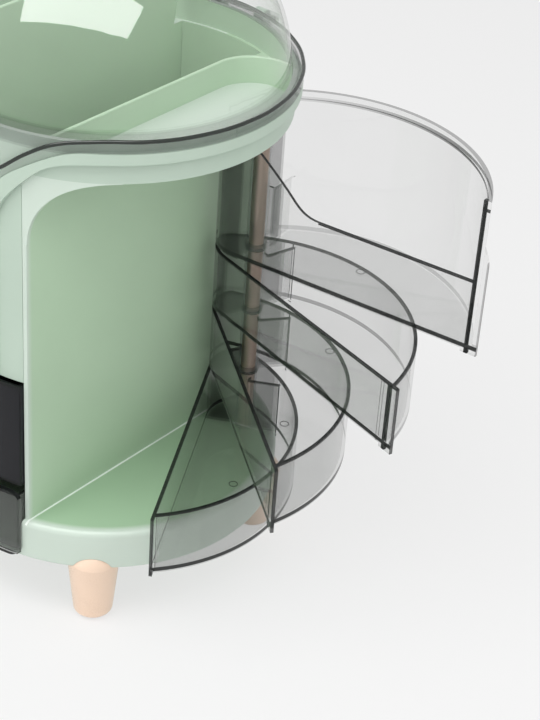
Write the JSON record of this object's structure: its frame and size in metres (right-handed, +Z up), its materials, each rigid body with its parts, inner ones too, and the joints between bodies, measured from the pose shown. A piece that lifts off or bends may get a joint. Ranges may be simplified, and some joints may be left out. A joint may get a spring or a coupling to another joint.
{
  "type": "makeup organizer with drawers",
  "caption": "Round makeup organizer on short legs, with swing-out trays fanned round two posts, front drawers and a hinged clear dome over a well and two shelves.",
  "frame": {"origin": "on the floor plane under the centre of the round base", "axes": "+Z up, -Y towards the front with the drawers, +X to the right side seen from the front"},
  "size_m": [0.4996, 0.252, 0.4574],
  "materials": {
    "mint_plastic": "satin mint green",
    "smoky_plastic": "smoky clear",
    "clear_plastic": "clear, polished",
    "rose_plastic": "satin rose",
    "rose_metal": "rose plated",
    "rubber": "matt",
    "steel": "plain"
  },
  "bodies": {
    "stand": {"base": "mint_plastic", "leg_1": "rose_plastic", "leg_2": "rose_plastic", "leg_3": "rose_plastic", "leg_4": "rose_plastic", "foot_pads": "rubber", "leg_studs": "steel", "side_frame_right": "mint_plastic", "side_frame_left": "mint_plastic", "column_front": "mint_plastic", "column_back": "mint_plastic", "drawer_shelf": "mint_plastic", "well_floor": "mint_plastic", "top_deck": "mint_plastic", "deck_partition": "mint_plastic", "well_panel": "mint_plastic", "arch_trim": "mint_plastic", "hinge_pin": "steel", "post_left": "rose_metal", "post_right": "rose_metal", "post_collars_left": "smoky_plastic", "post_collars_right": "smoky_plastic"},
    "lid": {"lid": "clear_plastic"},
    "drawer_lower": {"drawer_lower": "smoky_plastic"},
    "drawer_upper": {"drawer_upper": "smoky_plastic"},
    "tray_right_1": {"tray_right_1": "smoky_plastic"},
    "tray_right_2": {"tray_right_2": "smoky_plastic"},
    "tray_right_3": {"tray_right_3": "smoky_plastic"},
    "tray_right_4": {"tray_right_4": "smoky_plastic"},
    "tray_left_1": {"tray_left_1": "smoky_plastic"},
    "tray_left_2": {"tray_left_2": "smoky_plastic"},
    "tray_left_3": {"tray_left_3": "smoky_plastic"},
    "tray_left_4": {"tray_left_4": "smoky_plastic"}
  },
  "joints": [
    {"name": "lid_hinge", "type": "hinge", "parent": "stand", "child": "lid", "pos_m": [0, 0.1246, 0.3546], "axis": [-1, 0, 0], "range_deg": [0, 95]},
    {"name": "drawer_lower_slide", "type": "slide", "parent": "stand", "child": "drawer_lower", "axis": [0, -1, 0], "range_m": [0, 0.12]},
    {"name": "drawer_upper_slide", "type": "slide", "parent": "stand", "child": "drawer_upper", "axis": [0, -1, 0], "range_m": [0, 0.12]},
    {"name": "tray_right_1_swing", "type": "hinge", "parent": "stand", "child": "tray_right_1", "pos_m": [0.067, 0.072, 0.223], "axis": [0, 0, 1], "range_deg": [-96, 14]},
    {"name": "tray_right_2_swing", "type": "hinge", "parent": "stand", "child": "tray_right_2", "pos_m": [0.067, 0.072, 0.174], "axis": [0, 0, 1], "range_deg": [-76, 34]},
    {"name": "tray_right_3_swing", "type": "hinge", "parent": "stand", "child": "tray_right_3", "pos_m": [0.067, 0.072, 0.125], "axis": [0, 0, 1], "range_deg": [-53, 57]},
    {"name": "tray_right_4_swing", "type": "hinge", "parent": "stand", "child": "tray_right_4", "pos_m": [0.067, 0.072, 0.076], "axis": [0, 0, 1], "range_deg": [-29.5, 80.5]},
    {"name": "tray_left_1_swing", "type": "hinge", "parent": "stand", "child": "tray_left_1", "pos_m": [-0.067, 0.072, 0.223], "axis": [0, 0, -1], "range_deg": [-96, 14]},
    {"name": "tray_left_2_swing", "type": "hinge", "parent": "stand", "child": "tray_left_2", "pos_m": [-0.067, 0.072, 0.174], "axis": [0, 0, -1], "range_deg": [-76, 34]},
    {"name": "tray_left_3_swing", "type": "hinge", "parent": "stand", "child": "tray_left_3", "pos_m": [-0.067, 0.072, 0.125], "axis": [0, 0, -1], "range_deg": [-53, 57]},
    {"name": "tray_left_4_swing", "type": "hinge", "parent": "stand", "child": "tray_left_4", "pos_m": [-0.067, 0.072, 0.076], "axis": [0, 0, -1], "range_deg": [-29.5, 80.5]}
  ]
}
